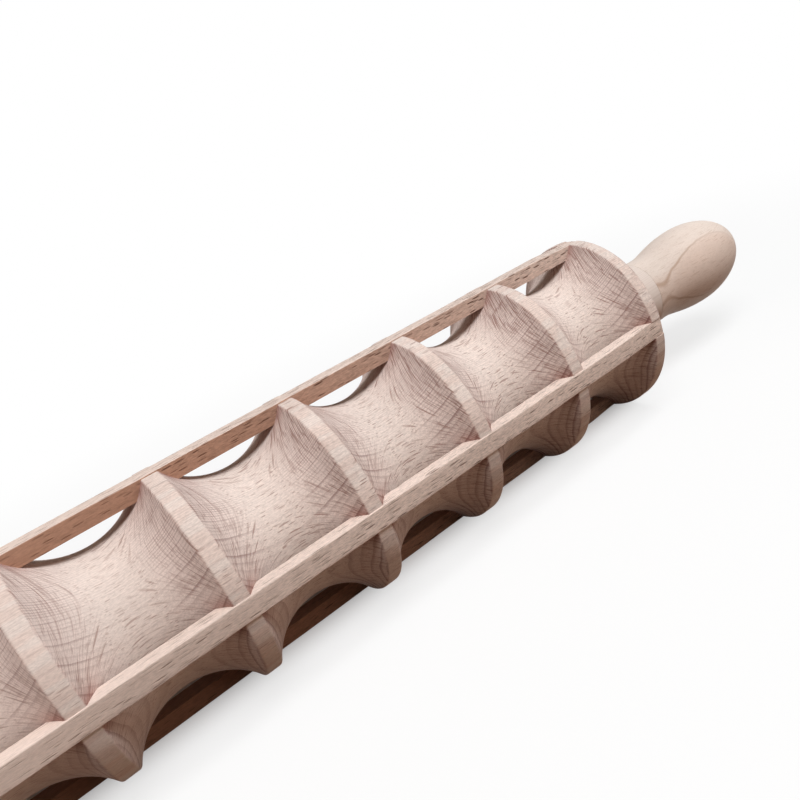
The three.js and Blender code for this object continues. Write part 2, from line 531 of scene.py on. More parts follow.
class BeechGrain:
    """Nodes of one beech finish, with the coordinates that its figure is read from.

    The scales are features per millimetre along the grain and across it. Only the rings' waver is read
    by ring, round the pith and along it. The other ranges and shares say which part of a noise, a cell
    or a face's direction counts, and how much of it.
    """

    SWAY_SCALE = (0.014, 0.05, 0.05)
    PATCH_SCALE = (0.03, 0.08, 0.08)
    BAND_SCALE = (0.06, 0.32, 0.32)
    RING_WAVER_SCALE = (0.6, 0.09, 0.02)
    END_GRAIN_FACING = (0.15, 0.85)
    SIDE_SHADE_FACING = (0.35, 0.75)
    RAY_EDGE_ON = (0.0, 0.14)
    RAY_EDGE_SHARES = (0.3, 1.0)
    RING_RISE = (0.42, 0.92)
    RING_FALL = (0.93, 1.0)
    CHANCE_SHARES = (0.35, 1.0)
    DASH_EDGE = (0.6, 1.0)
    LEAST_REACH = 0.001
    FINE_RAY_MIDDLE = 0.5
    FINE_RAY_HALF = 0.06
    BAND_EDGE = (0.45, 0.55)
    GRAIN_ROUGHNESS = 0.7
    GRAIN_RANGE = (0.25, 0.75)
    GRAIN_SHADES = (-0.65, 0.35)
    GRAIN_RELIEF = 0.6
    PATCH_RANGE = (0.3, 0.7)
    PATCH_SHADES = (0.95, 1.04)
    ROUGH_RANGE = (0.2, 0.8)
    ROUGH_CHANGES = (0.1, -0.06)
    STREAK_CORE = 0.1

    def __init__(self, finish: BeechFinish, axle_height: float) -> None:
        """Start the material and work out its coordinates.

        Args:
            finish: The finish to build.
            axle_height: Height of the axle above the ground, in millimetres.
        """
        self.finish = finish
        self.material, self.tree, self.shader = new_material(finish.name)
        tree = self.tree
        self.place = tree.place()
        self.along, self.across, height = tree.split(self.place)
        self.height = tree.math("SUBTRACT", height, axle_height)
        self.facing = tree.split(tree.add("ShaderNodeTexCoord").outputs["Normal"])
        outwards, self.side = self.from_pith(self.across, self.height)
        sway = tree.noise(self.place, self.SWAY_SCALE, detail=1.0)
        straight = tree.math("ADD", outwards, finish.pith_distance - finish.wander)
        self.depth = tree.math("MULTIPLY_ADD", sway, 2 * finish.wander, straight)
        self.radius = tree.length(self.side, self.depth)
        self.sideways = tree.times(tree.math("ARCTAN2", self.side, self.depth), finish.pith_distance)
        self.end_grain = tree.ramp(tree.size_of(self.facing[0]), *self.END_GRAIN_FACING)
        self.figure = tree.ramp(self.along, *finish.figure_range, *finish.figure_shares)

    def from_pith(self, across: Socket, height: Socket) -> tuple[Socket, Socket]:
        """Turn a place or a direction to the pith's side of the pin.

        Args:
            across: Its part across the pin.
            height: Its upright part.

        Returns:
            Its parts outwards from the pith and sideways of that.
        """
        angle = math.radians(self.finish.outward)
        parts = []
        for level, upright in ((math.cos(angle), math.sin(angle)), (-math.sin(angle), math.cos(angle))):
            parts.append(self.tree.math("MULTIPLY_ADD", across, level, self.tree.times(height, upright)))
        return parts[0], parts[1]

    def lengthwise(self, sizes: Pair) -> Triple:
        """Scale of cells that have a given length along the grain and width across it."""
        return 1 / sizes[0], 1 / sizes[1], 1 / sizes[1]

    def radial(self, sizes: Triple) -> tuple[Socket, Triple]:
        """The place out from the pith, round it and along it, with the scale of cells of given sizes."""
        place = self.tree.vector(self.radius, self.sideways, self.along)
        return place, tuple(1 / size for size in sizes)

    def dashes(self, place: Socket, scale: Triple, reaches: Pair) -> Socket:
        """One long grain of tissue in each cell of a grid, of a size and depth of colour left to chance.

        Args:
            place: Where the grid is read.
            scale: Cells per unit on each axis.
            reaches: Smallest and largest reach of a grain, in cells. None shows below 0.

        Returns:
            The strength of the grains, 0 to 1.
        """
        tree = self.tree
        grid = tree.add("ShaderNodeTexVoronoi", feature="F1", distance="EUCLIDEAN")
        tree.join(tree.scaled(place, scale), grid.inputs["Vector"])
        tree.join(1.0, grid.inputs["Scale"])
        size, depth, _ = tree.split(grid.outputs["Color"])
        reach = tree.math("MAXIMUM", tree.ramp(size, 0.0, 1.0, *reaches), self.LEAST_REACH)
        near = tree.math("DIVIDE", grid.outputs["Distance"], reach)
        return tree.times(tree.fade(near, *self.DASH_EDGE), tree.ramp(depth, 0.0, 1.0, *self.CHANCE_SHARES))

    def rings(self) -> Socket:
        """Late wood of the growth rings, which crowd together away from the pith.

        Returns:
            The strength of the late wood, 0 to 1.
        """
        tree, finish = self.tree, self.finish
        past = tree.math("SUBTRACT", self.radius, finish.pith_distance + finish.crowd_from)
        crowd = tree.math("SMOOTH_MAX", past, 0.0, finish.crowd_blend)
        even = tree.math("DIVIDE", self.radius, finish.ring_width)
        count = tree.math("MULTIPLY_ADD", crowd, finish.ring_crowding, even)
        route = tree.vector(count, self.sideways, self.along)
        count = tree.math("ADD", tree.noise(route, self.RING_WAVER_SCALE, detail=3.0), count)
        share = tree.math("FRACT", count)
        chance = tree.add("ShaderNodeTexWhiteNoise", noise_dimensions="1D")
        tree.join(tree.math("FLOOR", count), chance.inputs["W"])
        line = tree.times(tree.ramp(share, *self.RING_RISE), tree.fade(share, *self.RING_FALL))
        strength = tree.ramp(chance.outputs["Value"], 0.0, 1.0, *self.CHANCE_SHARES)
        return tree.times(line, strength, self.figure)

    def rays(self) -> Socket:
        """Thin blades of ray tissue, fainter where a face lies along a blade.

        Returns:
            The strength of the rays, 0 to 1.
        """
        tree, finish = self.tree, self.finish
        outwards, sideways = self.from_pith(self.facing[1], self.facing[2])
        flat = tree.math("SUBTRACT", tree.times(sideways, self.depth), tree.times(outwards, self.side))
        flat = tree.size_of(tree.math("DIVIDE", flat, self.radius))
        edge_on = tree.math("SUBTRACT", 1.0, flat, clamp=True)
        dashes = self.dashes(*self.radial(finish.ray_size), finish.ray_reach)
        return tree.times(dashes, self.figure, tree.ramp(edge_on, *self.RAY_EDGE_ON, *self.RAY_EDGE_SHARES))

    def fine_rays(self) -> Socket:
        """The many small rays between the large ones, as thin lines out from the pith on end grain.

        Returns:
            The strength of the rays, 0 to 1.
        """
        tree = self.tree
        level = tree.noise(*self.radial(self.finish.fine_ray_size), detail=1.0)
        level = tree.size_of(tree.math("SUBTRACT", level, self.FINE_RAY_MIDDLE))
        return tree.times(tree.fade(level, 0.0, self.FINE_RAY_HALF), self.end_grain, self.figure)

    def pores(self) -> Socket:
        """Short dark lines along the grain, where pores are cut open on long grain."""
        dashes = self.dashes(self.place, self.lengthwise(self.finish.pore_size), self.finish.pore_reach)
        return self.tree.times(dashes, self.tree.rest(self.end_grain), self.figure)

    def rims(self) -> Socket:
        """Share of the turned rim faces, told by their distance from the axle."""
        return self.tree.ramp(self.tree.length(self.across, self.height), *self.finish.rim_range)

    def side_shade(self) -> Socket:
        """Painted shade on the side faces of the top and bottom strips, which fades out along their length
        towards the right end.

        Returns:
            The share of painted shade, 0 to 1.
        """
        tree, finish = self.tree, self.finish
        outwards = tree.times(self.facing[2], tree.math("SIGN", self.height))
        inside = tree.fade(outwards, *self.SIDE_SHADE_FACING)
        upright = tree.math("GREATER_THAN", tree.size_of(self.height), finish.side_shade_beyond)
        return tree.times(inside, upright, tree.fade(self.along, *finish.side_shade_range))

    def glue_stains_and_shade(self) -> Socket:
        """Red-brown glue stain and painted shade on the rims beside the four strips, darker in the corners
        where strip and rim meet.

        Returns:
            The share of glue stain and painted shade, 0 to 1.
        """
        tree, finish = self.tree, self.finish
        places = (tree.size_of(self.across), tree.size_of(self.height))
        beside = tree.fade(tree.math("MINIMUM", *places), *finish.stain_and_shade_reach)
        outside = tree.ramp(tree.math("MAXIMUM", *places), *finish.stain_and_shade_radius)
        return tree.times(beside, outside, self.end_grain)

    def streaked(self, colour: Socket) -> Socket:
        """Lay one dark growth line over a handle, with a darker tint on its front side that is partly darker
        wood and partly painted shade.

        Args:
            colour: The colour so far.

        Returns:
            The colour with the streak.
        """
        tree, finish = self.tree, self.finish
        width = finish.streak[1]
        level = finish.pith_distance + finish.streak[0]
        inside = tree.ramp(self.depth, level - finish.streak_edge, level + finish.streak_edge)
        # The tint beyond the growth line is partly darker wood and partly painted shade on the handle's front
        # side.
        colour = tree.tinted(inside, colour, finish.streak_tint_and_shade)
        bend_run, bend_rise = finish.streak_bend
        waver_scale, waver_height = finish.streak_waver
        reach = tree.math("SUBTRACT", tree.size_of(self.along), finish.streak_from)
        bend = tree.ramp(reach, 0.0, bend_run, bend_rise, 0.0)
        route = tree.vector(self.along, self.depth, 0.0)
        waver = tree.noise(route, (waver_scale, waver_scale, waver_scale))
        waver = tree.math("MULTIPLY_ADD", waver, waver_height, -waver_height / 2)
        path = tree.math("ADD", bend, waver)
        gap = tree.math("SUBTRACT", tree.math("SUBTRACT", self.depth, level), path)
        line = tree.fade(tree.size_of(gap), self.STREAK_CORE * width, width)
        strength = tree.ramp(reach, *finish.streak_run, *finish.streak_shares)
        return tree.mix(tree.times(line, strength), colour, finish.ray)

    def ground(self, rings: Socket, grains: Socket, rim: Socket | None) -> Socket:
        """Colour of the wood under its rays and pores.

        Args:
            rings: Strength of the late wood.
            grains: The fine grain.
            rim: Share of the rim faces, where the piece has any.

        Returns:
            The colour.
        """
        tree, finish = self.tree, self.finish
        long_grain = finish.ring_strength * finish.long_grain_share
        ring_share = tree.ramp(self.end_grain, 0.0, 1.0, long_grain, finish.ring_strength)
        if rim is not None:
            ring_share = tree.math("MAXIMUM", ring_share, tree.times(rim, finish.rim_ring_share))
        colour = tree.mix(tree.times(rings, ring_share), finish.pale, finish.late)
        colour = tree.tinted(self.end_grain, colour, finish.end_tint)
        patches = tree.noise(self.place, self.PATCH_SCALE)
        shades = [finish.grain_depth * shade for shade in self.GRAIN_SHADES]
        shade = tree.math(
            "MULTIPLY_ADD", tree.ramp(grains, *self.GRAIN_RANGE, *shades), self.figure,
            tree.ramp(patches, *self.PATCH_RANGE, *self.PATCH_SHADES))
        return tree.mix(1.0, colour, tree.vector(shade, shade, shade), "MULTIPLY")

    def dress(self, colour: Socket, relief: Socket, grains: Socket) -> None:
        """Join colour, relief and gloss to the shader.

        Args:
            colour: The finished colour.
            relief: Height of the surface, as a share of the bump's depth.
            grains: The fine grain, which also varies the gloss.
        """
        tree, finish, inputs = self.tree, self.finish, self.shader.inputs
        bump = tree.add("ShaderNodeBump")
        tree.join(finish.bump, bump.inputs["Strength"])
        tree.join(finish.bump_depth * MM, bump.inputs["Distance"])
        tree.join(relief, bump.inputs["Height"])
        gloss = [finish.roughness + change for change in self.ROUGH_CHANGES]
        tree.join(colour, inputs["Base Color"])
        tree.join(bump.outputs["Normal"], inputs["Normal"])
        tree.join(tree.ramp(grains, *self.ROUGH_RANGE, *gloss), inputs["Roughness"])
        tree.join(finish.specular, inputs["Specular IOR Level"])

    def build(self) -> Material:
        """Lay the figure over the wood and dress the shader with it.

        Returns:
            The material.
        """
        tree, finish = self.tree, self.finish
        rings = self.rings()
        rays = self.rays()
        pores = self.pores()
        scale = self.lengthwise(finish.grain_size)
        grains = tree.noise(self.place, scale, roughness=self.GRAIN_ROUGHNESS)
        rim = self.rims() if finish.rim_range else None
        side_shade = self.side_shade() if finish.side_shade_tint else None
        colour = self.ground(rings, grains, rim)
        dark = finish.fine_ray_darkness
        fine_colour = tuple(dark * ray + (1 - dark) * late for ray, late in zip(finish.ray, finish.late))
        colour = tree.mix(tree.times(self.fine_rays(), finish.fine_ray_strength), colour, fine_colour)
        if rim is not None:
            pores = tree.times(pores, tree.ramp(rim, 0.0, 1.0, 1.0, finish.rim_pore_share))
            bands = tree.ramp(tree.noise(self.place, self.BAND_SCALE), *self.BAND_EDGE)
            colour = tree.tinted(tree.times(bands, rim), colour, finish.rim_tint)
        if side_shade is not None:
            pores = tree.times(pores, tree.ramp(side_shade, 0.0, 1.0, 1.0, finish.side_shade_pore_share))
        colour = tree.mix(tree.times(pores, finish.pore_strength), colour, finish.ray)
        colour = tree.mix(tree.times(rays, finish.ray_strength), colour, finish.ray)
        if finish.streak:
            colour = self.streaked(colour)
        if side_shade is not None:
            # Painted shade on the side faces of the top and bottom strips.
            colour = tree.tinted(side_shade, colour, finish.side_shade_tint)
        # Glue stain and painted shade darken the end-grain rims in the corners beside the strips.
        if finish.glue_stain_and_shade:
            colour = tree.tinted(self.glue_stains_and_shade(), colour, finish.glue_stain_and_shade)
        relief = tree.math("SUBTRACT", tree.times(grains, self.GRAIN_RELIEF), tree.math("ADD", rays, pores))
        if finish.sanded:
            smooth_wood = tree.mix(tree.times(rings, finish.sanded_ring_share), finish.sanded, finish.late)
            share = tree.ramp(tree.size_of(self.along), *finish.sanded_range, 0.0, finish.sanded_share)
            colour = tree.mix(share, colour, smooth_wood)
            relief = tree.times(relief, tree.rest(share))
        self.dress(colour, relief, grains)
        return self.material


@dataclass(frozen=True)
class SteelFinish:
    """Drawn steel with fine lines along the rod. Features per millimetre."""

    name: str = "drawn_steel"
    colour: Colour = (0.56, 0.57, 0.58)
    dark_share: float = 0.85
    line_scale: Triple = (0.04, 4.0, 4.0)
    line_range: Pair = (0.2, 0.8)
    roughness: Pair = (0.22, 0.36)

    def build(self) -> Material:
        """Build the material.

        Returns:
            The material.
        """
        material, tree, shader = new_material(self.name)
        lines = tree.noise(tree.place(), self.line_scale)
        dark = tuple(self.dark_share * part for part in self.colour)
        tree.join(tree.mix(lines, self.colour, dark), shader.inputs["Base Color"])
        tree.join(tree.ramp(lines, *self.line_range, *self.roughness), shader.inputs["Roughness"])
        tree.join(1.0, shader.inputs["Metallic"])
        return material


@dataclass(frozen=True)
class NylonFinish:
    """Natural nylon, slightly clouded. Features per millimetre."""

    name: str = "natural_nylon"
    colour: Colour = (0.80, 0.78, 0.70)
    dark_share: float = 0.9
    cloud_scale: Triple = (0.4, 0.4, 0.4)
    roughness: float = 0.45

    def build(self) -> Material:
        """Build the material.

        Returns:
            The material.
        """
        material, tree, shader = new_material(self.name)
        clouds = tree.noise(tree.place(), self.cloud_scale, detail=3.0)
        dark = tuple(self.dark_share * part for part in self.colour)
        tree.join(tree.mix(clouds, self.colour, dark), shader.inputs["Base Color"])
        tree.join(self.roughness, shader.inputs["Roughness"])
        return material


class Repeater:
    """A geometry node tree that repeats a mesh, with a named input for each of its sizes."""

    SOCKETS = {int: "NodeSocketInt", float: "NodeSocketFloat", Material: "NodeSocketMaterial"}
    STEPS = (
        "GeometryNodeInstanceOnPoints", "GeometryNodeRealizeInstances", "GeometryNodeMergeByDistance",
        "GeometryNodeSetMaterial", "NodeGroupOutput")
    WELD = 0.001 * MM

    def __init__(self, name: str, sizes: dict[str, float], material: Material) -> None:
        """Start the tree.

        Args:
            name: Name of the tree.
            sizes: Value of each named input, in metres or as a whole number.
            material: Material of the result.
        """
        self.group = bpy.data.node_groups.new(name, "GeometryNodeTree")
        self.group.is_modifier = True
        self.values = {}
        interface = self.group.interface
        interface.new_socket("Geometry", in_out="INPUT", socket_type="NodeSocketGeometry")
        for label, value in (*sizes.items(), ("Finish", material)):
            socket = interface.new_socket(label, in_out="INPUT", socket_type=self.SOCKETS[type(value)])
            self.values[socket.identifier] = value
        interface.new_socket("Geometry", in_out="OUTPUT", socket_type="NodeSocketGeometry")
        self.tree = NodeTree(self.group)
        self.inputs = self.tree.add("NodeGroupInput").outputs

    def run(self, obj: Object, points: Socket, rotation: Socket | None = None) -> None:
        """Put the mesh on points, make the copies real, weld and dress them, and settle the object.

        Args:
            obj: The object to repeat.
            points: Where the copies stand.
            rotation: How each copy is turned, where it is.
        """
        tree = self.tree
        steps = [tree.add(kind) for kind in self.STEPS]
        for before, after in zip(steps, steps[1:]):
            tree.join(before.outputs[0], after.inputs[0])
        copies, _, welded, dressed, _ = steps
        tree.join(points, copies.inputs["Points"])
        tree.join(self.inputs["Geometry"], copies.inputs["Instance"])
        if rotation is not None:
            tree.join(rotation, copies.inputs["Rotation"])
        tree.join(self.WELD, welded.inputs["Distance"])
        tree.join(self.inputs["Finish"], dressed.inputs["Material"])
        modifier = obj.modifiers.new(self.group.name, "NODES")
        modifier.node_group = self.group
        for identifier, value in self.values.items():
            modifier[identifier] = value
        settle(obj)


def repeat_along_axle(obj: Object, count: int, pitch: float, first: float, material: Material) -> None:
    """Repeat an object's mesh in a row along the axle.

    Args:
        obj: The object to repeat.
        count: Number of copies.
        pitch: Distance from copy to copy, in metres.
        first: Place of the first copy, in metres.
        material: Material of the result.
    """
    repeater = Repeater("repeat_along_axle", {"Count": count, "Pitch": pitch, "First": first}, material)
    tree, inputs = repeater.tree, repeater.inputs
    row = tree.add("GeometryNodeMeshLine", mode="OFFSET")
    tree.join(inputs["Count"], row.inputs["Count"])
    tree.join(tree.vector(inputs["First"], 0.0, 0.0), row.inputs["Start Location"])
    tree.join(tree.vector(inputs["Pitch"], 0.0, 0.0), row.inputs["Offset"])
    repeater.run(obj, row.outputs["Mesh"])


def repeat_round_axle(obj: Object, count: int, axle_height: float, material: Material) -> None:
    """Repeat an object's mesh at even turns round the axle.

    Args:
        obj: The object to repeat, with its mesh placed about the axle at the origin.
        count: Number of copies.
        axle_height: Height of the axle, in metres.
        material: Material of the result.
    """
    repeater = Repeater("repeat_round_axle", {"Count": count, "Axle Height": axle_height}, material)
    tree, inputs = repeater.tree, repeater.inputs
    points = tree.add("GeometryNodePoints")
    tree.join(inputs["Count"], points.inputs["Count"])
    tree.join(tree.vector(0.0, 0.0, inputs["Axle Height"]), points.inputs["Position"])
    index = tree.add("GeometryNodeInputIndex").outputs[0]
    turn = tree.times(tree.math("DIVIDE", index, inputs["Count"]), 2 * math.pi)
    rotation = tree.fill(tree.add("FunctionNodeEulerToRotation"), tree.vector(turn, 0.0, 0.0))
    repeater.run(obj, points.outputs["Points"], rotation)


@dataclass
class CuttingStrips:
    """The lengthwise strips set into the rims. Sizes in millimetres.

    Rows and layers are places in the noise that the hand-sanded faces are drawn from.
    """

    half_length: float
    face_radius: float
    rim_radius: float
    width: float
    depth: float
    axle_height: float
    count: int = 4
    end_round: float = 1.2
    edge_ease: float = 0.3
    flush_ease: float = 0.03
    flush_from: float = 5.5
    flush_run: float = 12.0
    flush_proud: float = 0.03
    wobble: float = 0.1
    side_wave: float = 19.0
    face_wave: float = 13.0
    face_sink: float = 0.4
    side_row: float = 7.0
    side_layer: float = 3.0
    corner_row: float = 0.3
    face_layer: float = 9.0
    slot_gap: float = 0.02
    slot_over: float = 3.0
    slot_past: float = 2.0
    face_steps: int = 4
    ease_steps: int = 3
    end_steps: int = 5
    stations: int = 180

    def section(self, margin: float, flush: float, drop: float) -> Profile:
        """Corners of the cross-section, as sideways place and radius.

        Args:
            margin: Amount added all round, for a slot.
            flush: 0 where the outer face is flat and proud, 1 where it is sanded to the rim's round.
            drop: Amount taken off the outer face.

        Returns:
            The corners in order.
        """
        half = self.width / 2 + margin
        floor = self.face_radius - self.depth - margin
        ease = self.edge_ease + (self.flush_ease - self.edge_ease) * flush
        top = []
        for step in range(self.face_steps + 1):
            side = (half - ease) * (1 - 2 * step / self.face_steps)
            rounded = math.sqrt(self.rim_radius ** 2 - side ** 2) + self.flush_proud
            top.append((side, self.face_radius + (rounded - self.face_radius) * flush - drop))
        corner = top[0][1]
        right = curve([(half, corner - ease), (half, corner), top[0]], self.ease_steps)
        left = [(-side, radius) for side, radius in reversed(right)]
        return [(half, floor), *right, *top[1:-1], *left, (-half, floor)]

    def bar(self, name: str, sections: list[tuple[float, Profile]]) -> Object:
        """A bar along the top of the roller, about the axle at the origin.

        Args:
            name: Name of the object.
            sections: Place along the axle and corners of each cross-section.

        Returns:
            The bar as an object.
        """
        vertices = []
        for along, section in sections:
            vertices += [(along * MM, side * MM, radius * MM) for side, radius in section]
        size = len(sections[0][1])
        first_end = tuple(range(size))
        last_end = tuple(len(vertices) - size + corner for corner in range(size))
        mesh = new_mesh(name, vertices, [*tube_faces(len(sections), size), first_end, last_end])
        weld(mesh)
        return add_object(name, mesh)

    def sanded(self, along: float) -> tuple[float, Profile]:
        """Cross-section of a strip at one place, with the slight wander of hand sanding.

        Args:
            along: Place along the axle.

        Returns:
            The place and the corners.
        """
        short = self.half_length - abs(along)
        flush = 1 - min(1.0, max(0.0, (short - self.flush_from) / self.flush_run))
        past = max(0.0, self.end_round - short)
        drop = self.end_round - math.sqrt(max(0.0, self.end_round ** 2 - past ** 2))
        flush = flush * flush * (3 - 2 * flush)
        wobble = self.wobble * (1 - flush)
        corners = []
        for corner, (side, radius) in enumerate(self.section(0.0, flush, drop)):
            if radius > self.face_radius - self.depth / 2:
                side_at = (along / self.side_wave, self.side_row * (side > 0), self.side_layer)
                face_at = (along / self.face_wave, self.corner_row * corner, self.face_layer)
                side += wobble * noise.noise(Vector(side_at))
                radius += wobble * (noise.noise(Vector(face_at)) / 2 - self.face_sink)
            corners.append((side, radius))
        return along, corners

    def slots(self, material: Material) -> Object:
        """The slots for all strips, as one cutting object.

        Args:
            material: The roller's beech.

        Returns:
            The cutting object.
        """
        cut = self.section(self.slot_gap, 0.0, -self.slot_over)
        reach = self.half_length + self.slot_past
        slots = self.bar("slots", [(-reach, cut), (reach, cut)])
        repeat_round_axle(slots, self.count, self.axle_height * MM, material)
        return slots

    def build(self, material: Material) -> Object:
        """Build all strips as one piece.

        Args:
            material: The strips' beech.

        Returns:
            The finished piece.
        """
        places = [self.half_length * (2 * step / self.stations - 1) for step in range(self.stations + 1)]
        for step in range(1, self.end_steps):
            place = self.half_length - self.end_round * step / self.end_steps
            places += [place, -place]
        strips = self.bar("cutting_strips", [self.sanded(along) for along in sorted(places)])
        repeat_round_axle(strips, self.count, self.axle_height * MM, material)
        smooth(strips.data)
        return strips


@dataclass
class Roller:
    """The turned roller: rims, coves, hollow shoulders, bosses and the stepped bore. Sizes in millimetres."""

    half_length: float
    boss_end: float
    axle_height: float
    rim_radius: float = 28.0
    rim_width: float = 4.0
    end_rim_width: float = 4.5
    pocket_length: float = 30.4
    pockets: int = 8
    cove_floor: float = 19.0
    rim_ease: float = 0.45
    end_round: float = 1.2
    shoulder_round: float = 12.0
    boss_radius: float = 11.5
    boss_ease: float = 0.05
    recess_radius: float = 9.2
    recess_depth: float = 1.8
    seat_radius: float = 6.95
    seat_depth: float = 16.2
    bore_radius: float = 4.8
    joint_weld: float = 0.01
    sides: int = 180
    cove_steps: int = 26
    ease_steps: int = 3
    round_steps: int = 6
    shoulder_steps: int = 24
    lip_steps: int = 4

    @property
    def pitch(self) -> float:
        """Distance from rim to rim."""
        return self.pocket_length + self.rim_width

    @property
    def last_rim(self) -> float:
        """Middle of the last rim, as wide as the others, along the axle."""
        return self.half_length - self.end_rim_width + self.rim_width / 2

    def cove(self) -> Triple:
        """The arc that hollows one pocket.

        Returns:
            Radius of the arc, radius of its centre, and half its sweep in degrees.
        """
        depth = self.rim_radius - self.cove_floor
        half = self.pocket_length / 2
        radius = (half * half + depth * depth) / (2 * depth)
        return radius, self.cove_floor + radius, math.degrees(math.atan2(half, radius - depth))

    def bay_profile(self) -> Profile:
        """Profile of one bay, from the middle of a rim to the middle of the next, starting at 0.

        Returns:
            The points in order.
        """
        radius, centre, sweep = self.cove()
        rim = self.rim_radius
        sweep -= math.degrees(self.rim_ease / radius)
        floor = arc((self.pitch / 2, centre), (radius, radius), 270 - sweep, 270 + sweep, self.cove_steps)
        edge = self.rim_width / 2
        far = self.pitch - edge
        start = curve([(edge - self.rim_ease, rim), (edge, rim), floor[0]], self.ease_steps)
        stop = curve([floor[-1], (far, rim), (far + self.rim_ease, rim)], self.ease_steps)
        return [(0.0, rim), *start, *floor[1:-1], *stop, (self.pitch, rim)]

    def end_profile(self) -> Profile:
        """Profile of the right end, from the middle of the last rim round to the middle of the bore.

        Returns:
            The points in order.
        """
        ease = self.boss_ease
        rounding = arc(
            (self.half_length - self.end_round, self.rim_radius - self.end_round),
            (self.end_round, self.end_round), 90, 0, self.round_steps)
        hollow = arc(
            (self.half_length + self.shoulder_round, self.boss_radius + self.shoulder_round),
            (self.shoulder_round, self.shoulder_round), 180, 270, self.shoulder_steps)
        lip = curve(
            [(self.boss_end - ease, self.boss_radius), (self.boss_end, self.boss_radius),
             (self.boss_end, self.boss_radius - ease)], self.lip_steps)
        recess = self.boss_end - self.recess_depth
        seat = self.boss_end - self.seat_depth
        bore = [
            (self.boss_end, self.recess_radius), (recess, self.recess_radius), (recess, self.seat_radius),
            (seat, self.seat_radius), (seat, self.bore_radius), (0.0, self.bore_radius)]
        return [(self.last_rim, self.rim_radius), *rounding, *hollow, *lip, *bore]

    def build(self, material: Material, strips: CuttingStrips) -> Object:
        """Build the roller from its repeated bays and its two ends, and cut the slots.

        Args:
            material: The roller's beech.
            strips: The strips, whose slots are cut.

        Returns:
            The finished piece.
        """
        roller = add_object("roller", turned_mesh("bay", self.bay_profile(), self.sides, self.axle_height))
        repeat_along_axle(roller, self.pockets, self.pitch * MM, -self.last_rim * MM, material)
        work = bmesh.new()
        work.from_mesh(roller.data)
        end = turned_mesh("end", self.end_profile(), self.sides, self.axle_height)
        work.from_mesh(end)
        end.transform(HALF_TURN)
        work.from_mesh(end)
        work.to_mesh(roller.data)
        work.free()
        weld(roller.data, self.joint_weld * MM)
        slots = strips.slots(material)
        cut = roller.modifiers.new("slots", "BOOLEAN")
        cut.operation = "DIFFERENCE"
        cut.solver = "MANIFOLD"
        cut.object = slots
        settle(roller)
        bpy.data.objects.remove(slots, do_unlink=True)
        roller.data.materials.clear()
        roller.data.materials.append(material)
        smooth(roller.data)
        return roller


@dataclass
class Handle:
    """An egg-shaped handle with a blind hole for the axle. Sizes in millimetres, from its foot."""

    end: PinEnd
    foot: float
    axle_height: float
    length: float = 52.0
    foot_radius: float = 11.5
    foot_ease: float = 0.05
    foot_reach: float = 0.35
    neck_radius: float = 11.2
    neck_at: float = 6.5
    belly_radius: float = 13.9
    belly_at: float = 28.0
    hole_radius: float = 4.2
    hole_depth: float = 34.2
    recess_radius: float = 8.8
    recess_depth: float = 1.2
    sides: int = 128
    lip_steps: int = 4
    flare_steps: int = 8
    swell_steps: int = 18
    dome_steps: int = 30

    def profile(self) -> Profile:
        """Profile of the handle from the floor of its hole round to the tip.

        Returns:
            The points in order.
        """
        neck = self.foot + self.neck_at
        belly = self.foot + self.belly_at
        dome = self.length - self.belly_at
        swell = (self.belly_at - self.neck_at) / 2
        face = self.foot - self.foot_reach
        lip = curve(
            [(face, self.foot_radius - self.foot_ease), (face, self.foot_radius),
             (face + self.foot_ease, self.foot_radius)], self.lip_steps)
        flare = curve(
            [lip[-1], (self.foot + self.neck_at / 2, self.neck_radius), (neck, self.neck_radius)],
            self.flare_steps)
        swelling = curve(
            [(neck, self.neck_radius), (neck + swell / 2, self.neck_radius),
             (belly - swell, self.belly_radius), (belly, self.belly_radius)], self.swell_steps)
        cap = arc((belly, 0.0), (dome, self.belly_radius), 90, 0, self.dome_steps)
        hole = self.foot + self.hole_depth
        recess = self.foot + self.recess_depth
        inside = [
            (hole, 0.0), (hole, self.hole_radius), (recess, self.hole_radius),
            (recess, self.recess_radius), (face, self.recess_radius)]
        return [*inside, *lip, *flare[1:], *swelling[1:], *cap[1:]]

    def build(self, material: Material) -> Object:
        """Build the handle on its end of the pin."""
        name = f"handle_{self.end.value}_turned"
        return turned_piece(name, self.profile(), self.sides, self.axle_height, self.end, material)


